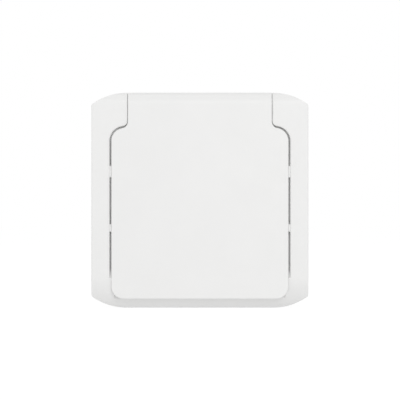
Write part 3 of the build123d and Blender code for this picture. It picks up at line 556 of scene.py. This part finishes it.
def wire_mesh(points, wire):
    # Round wire along a line of points, with domed ends
    radius = wire / 2
    ahead = points[1:] + points[-1:]
    behind = points[:1] + points[:-1]
    along = [(after - before).normalized() for before, after in zip(behind, ahead)]
    across = along[0].orthogonal().normalized()
    angles = [2 * pi * side / WIRE_SIDES for side in range(WIRE_SIDES)]
    rings = []
    for index, direction in enumerate(along):
        if index:
            across = along[index - 1].rotation_difference(direction) @ across
        over = direction.cross(across)
        rings.append([across * cos(a) * radius + over * sin(a) * radius for a in angles])

    def dome(end, outwards):
        # Narrower ring and pole past one end of the wire
        rise = outwards * radius * DOME_RISE
        ring = [points[end] + offset * DOME_RING + rise for offset in rings[end]]
        return ring, [points[end] + outwards * radius * DOME_POLE]

    first_ring, first_pole = dome(0, -along[0])
    last_ring, last_pole = dome(-1, along[-1])
    rows = [[point + offset for offset in ring] for point, ring in zip(points, rings)]
    return rows_mesh([first_pole, first_ring] + rows + [last_ring, last_pole])


def shutter_spring():
    # Compression spring between the guide's foot and the shutter, with closed ends
    low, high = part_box("shutter_spring")
    radius = (high.x - low.x - SHUTTER_WIRE) / 2
    middle = (low + high) / 2
    bottom = low.z + SHUTTER_WIRE / 2
    rise = high.z - low.z - SHUTTER_WIRE
    turns = OPEN_TURNS + 2 * CLOSED_TURNS
    flat = CLOSED_TURNS * SHUTTER_WIRE * CLOSED_RISE
    count = round(turns * TURN_POINTS)
    points = []
    for index in range(count + 1):
        turn = turns * index / count
        if turn < CLOSED_TURNS:
            height = flat * turn / CLOSED_TURNS
        elif turn > turns - CLOSED_TURNS:
            height = rise - flat * (turns - turn) / CLOSED_TURNS
        else:
            height = flat + (rise - 2 * flat) * (turn - CLOSED_TURNS) / OPEN_TURNS
        angle = 2 * pi * turn
        x = middle.x + radius * cos(angle)
        y = middle.y + radius * sin(angle)
        points.append(Vector((x, y, bottom + height)))
    vertices, faces = wire_mesh(points, SHUTTER_WIRE)
    piece = new_piece("shutter_coil_spring", vertices, faces, "spring_steel", "shutter_spring", SOFT_SHARP)
    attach(piece, "housing")
    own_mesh(piece)


def lid_spring():
    # Torsion spring about the hinge pin: one leg on the lid, one on the pocket floor
    low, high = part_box("lid_spring")
    hinge = Vector(joints["lid_hinge"]["pos_m"])
    radius = high.z - hinge.z - LID_WIRE / 2
    half = (high.x - low.x - LID_WIRE) / 2
    lid_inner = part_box("lid_gasket")[0].y + LID_WIRE / 2
    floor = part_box("insert_seal")[1].y - LID_WIRE / 2
    drop = hinge.z - low.z - LID_WIRE / 2

    def leaving_angle(end, side):
        # Angle about the pin at which a straight leg leaves the coil, for a leg that ends at the given Y
        out = end - hinge.y
        reach = sqrt(out ** 2 + drop ** 2 - radius ** 2)
        return atan2(-drop, -out) + side * atan2(reach, radius)

    first = leaving_angle(lid_inner, -1)
    last = leaving_angle(floor, 1)
    turns = LID_TURNS + ((first - last) / (2 * pi)) % 1.0
    count = round(turns * TURN_POINTS)
    points = [Vector((-half, lid_inner, hinge.z - drop))]
    for index in range(count + 1):
        part = index / count
        angle = first - 2 * pi * turns * part
        out = radius * cos(angle)
        up = radius * sin(angle)
        points.append(Vector((2 * half * part - half, hinge.y - out, hinge.z + up)))
    points.append(Vector((half, floor, hinge.z - drop)))
    vertices, faces = wire_mesh(points, LID_WIRE)
    piece = new_piece("lid_torsion_spring", vertices, faces, "spring_steel", "lid_spring", SOFT_SHARP)
    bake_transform(piece)


def lid_gasket():
    # Ring with two soft sealing beads towards the rim of the well
    low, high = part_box("lid_gasket")
    outer = high.x
    inner = outer - LID_SEAL_WIDTH
    tall = high.y - low.y
    half = [
        (0.0, 0.0), (0.0, SLOPE_HEIGHT), (BEAD_START, 1.0), (BEAD_END, 1.0), (GROOVE_START, GROOVE_HEIGHT),
    ]
    profile = [(inner + LID_SEAL_WIDTH * across, tall * up) for across, up in half]
    profile += [(outer - LID_SEAL_WIDTH * across, tall * up) for across, up in reversed(half)]
    from_lid = pointing(TO_WALL, Vector((0, low.y, 0)))
    rows = turned_rows(rounded(profile, LID_SEAL_ROUND), LID_SEAL_SIDES, from_lid)
    vertices, faces = rows_mesh(rows, closed_profile=True)
    piece = new_piece("lid_seal_ring", vertices, faces, "gasket_rubber", "lid_gasket", SOFT_SHARP)
    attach(piece, "lid")


def cable_grommet():
    # Soft flange and neck in the foot's hole, and a blind cone in steps to cut to the cable
    low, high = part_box("cable_grommet")
    flange = (high.x - low.x) / 2
    tall = high.z - low.z
    cone = tall - GROMMET_BEAD_END
    levels = GROMMET_STEPS + 1
    outside = []
    inside = []
    for step in range(levels):
        radius = GROMMET_TIP + (GROMMET_INSIDE - GROMMET_TIP) * step / GROMMET_STEPS
        for level in (step, step + 1):
            height = tall - cone * level / levels
            outside.append((radius, height))
            inside.append((radius - GROMMET_SKIN, height - GROMMET_SKIN))
    profile = [(0.0, tall)] + outside + [
        (GROMMET_BEAD, GROMMET_NECK_END), (GROMMET_NECK, GROMMET_NECK_END), (GROMMET_NECK, GROMMET_FLANGE),
        (flange, GROMMET_FLANGE), (flange, 0.0), (GROMMET_INSIDE, 0.0),
    ] + list(reversed(inside)) + [(0.0, tall - GROMMET_SKIN)]
    middle = (low + high) / 2
    from_foot = Matrix.Translation((middle.x, middle.y, low.z))
    rows = turned_rows(rounded(profile, GROMMET_ROUND, closed=False), GROMMET_SIDES, from_foot)
    vertices, faces = rows_mesh(rows)
    name = "stepped_cable_grommet"
    piece = new_piece(name, vertices, faces, "grommet_rubber", "cable_grommet", SOFT_SHARP)
    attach(piece, "housing")


for group in ("cover_screws", "centre_screw", "carrier_screws", "terminal_screws"):
    screws(group)
shutter_spring()
lid_spring()
lid_gasket()
cable_grommet()


def area_light(name, place, size, power):
    # Soft lamp that looks at the middle of the object
    data = bpy.data.lights.new(name, "AREA")
    data.shape = "RECTANGLE"
    data.size, data.size_y = size
    data.energy = power
    light = new_object(name, data)
    light.location = place
    middle = (cad_box[0] + cad_box[1]) / 2
    light.rotation_euler = (middle - Vector(place)).to_track_quat("-Z", "Y").to_euler()


def seen_rays(tree):
    # One for rays that show the backdrop: straight to the camera, mirrored or through glass
    path = add_node(tree, "ShaderNodeLightPath").outputs
    both = {0: path["Is Camera Ray"], 1: path["Is Glossy Ray"]}
    mirrored = add_node(tree, "ShaderNodeMath", both, operation="MAXIMUM").outputs[0]
    every = {0: mirrored, 1: path["Is Transmission Ray"]}
    return add_node(tree, "ShaderNodeMath", every, operation="MAXIMUM").outputs[0]


def glowing_paper(tree, glow, paper):
    # White that shines by itself and takes shadows as far as it is paper
    shine = add_node(tree, "ShaderNodeEmission", {"Strength": glow})
    shaded = add_node(tree, "ShaderNodeBsdfDiffuse", {"Color": (paper, paper, paper, 1.0)})
    return add_node(tree, "ShaderNodeAddShader", {0: shine.outputs[0], 1: shaded.outputs[0]})


def room():
    # Even light from all sides that shows as white
    world = bpy.data.worlds.new("studio")
    bpy.context.scene.world = world
    world.use_nodes = True
    tree = world.node_tree
    tree.nodes.clear()
    light = add_node(tree, "ShaderNodeBackground", {"Color": WHITE, "Strength": ROOM_LIGHT})
    white = add_node(tree, "ShaderNodeBackground", {"Color": WHITE, "Strength": 1.0})
    mixed = {0: seen_rays(tree), 1: light.outputs[0], 2: white.outputs[0]}
    mix = add_node(tree, "ShaderNodeMixShader", mixed)
    add_node(tree, "ShaderNodeOutputWorld", {"Surface": mix.outputs[0]})


def floor_finish():
    # Pale paper that shows as white outside the object's shadow, and is clear from below
    finish = bpy.data.materials.new("pale_floor")
    finish.use_nodes = True
    tree = finish.node_tree
    tree.nodes.clear()
    lit = glowing_paper(tree, FLOOR_GLOW, FLOOR_PAPER)
    seen = glowing_paper(tree, 1.0 - FLOOR_SHADE * ROOM_LIGHT, FLOOR_SHADE)
    mixed = {0: seen_rays(tree), 1: lit.outputs[0], 2: seen.outputs[0]}
    above = add_node(tree, "ShaderNodeMixShader", mixed)
    clear = add_node(tree, "ShaderNodeBsdfTransparent")
    below = add_node(tree, "ShaderNodeNewGeometry").outputs["Backfacing"]
    sided = add_node(tree, "ShaderNodeMixShader", {0: below, 1: above.outputs[0], 2: clear.outputs[0]})
    add_node(tree, "ShaderNodeOutputMaterial", {"Surface": sided.outputs[0]})
    return finish


def paper_floor():
    # Square sheet under the object
    level = cad_box[0].z
    signs = ((-1, -1), (1, -1), (1, 1), (-1, 1))
    corners = [(x * FLOOR_HALF, y * FLOOR_HALF, level) for x, y in signs]
    mesh = bpy.data.meshes.new("floor")
    mesh.from_pydata(corners, [], [(0, 1, 2, 3)])
    mesh.materials.append(floor_finish())
    floor = new_object("floor", mesh)


def camera():
    # Straight view of the front, at the distance where a pixel has its size
    distance = IMAGE_PX * PIXEL * LENS / SENSOR
    data = bpy.data.cameras.new("camera")
    data.lens = LENS
    data.sensor_width = SENSOR
    eye = new_object("camera", data)
    eye.location = (EYE_RIGHT, cad_box[0].y - distance, EYE_UP)
    eye.rotation_euler = (radians(90), 0.0, 0.0)
    bpy.context.scene.camera = eye


room()
paper_floor()
area_light("key_light", KEY_PLACE, KEY_SIZE, KEY_POWER)
area_light("top_light", TOP_PLACE, TOP_SIZE, TOP_POWER)
area_light("back_light", BACK_PLACE, BACK_SIZE, BACK_POWER)
area_light("left_light", LEFT_PLACE, SIDE_SIZE, LEFT_POWER)
area_light("right_light", RIGHT_PLACE, SIDE_SIZE, RIGHT_POWER)
camera()
bpy.context.scene.view_settings.view_transform = "Standard"
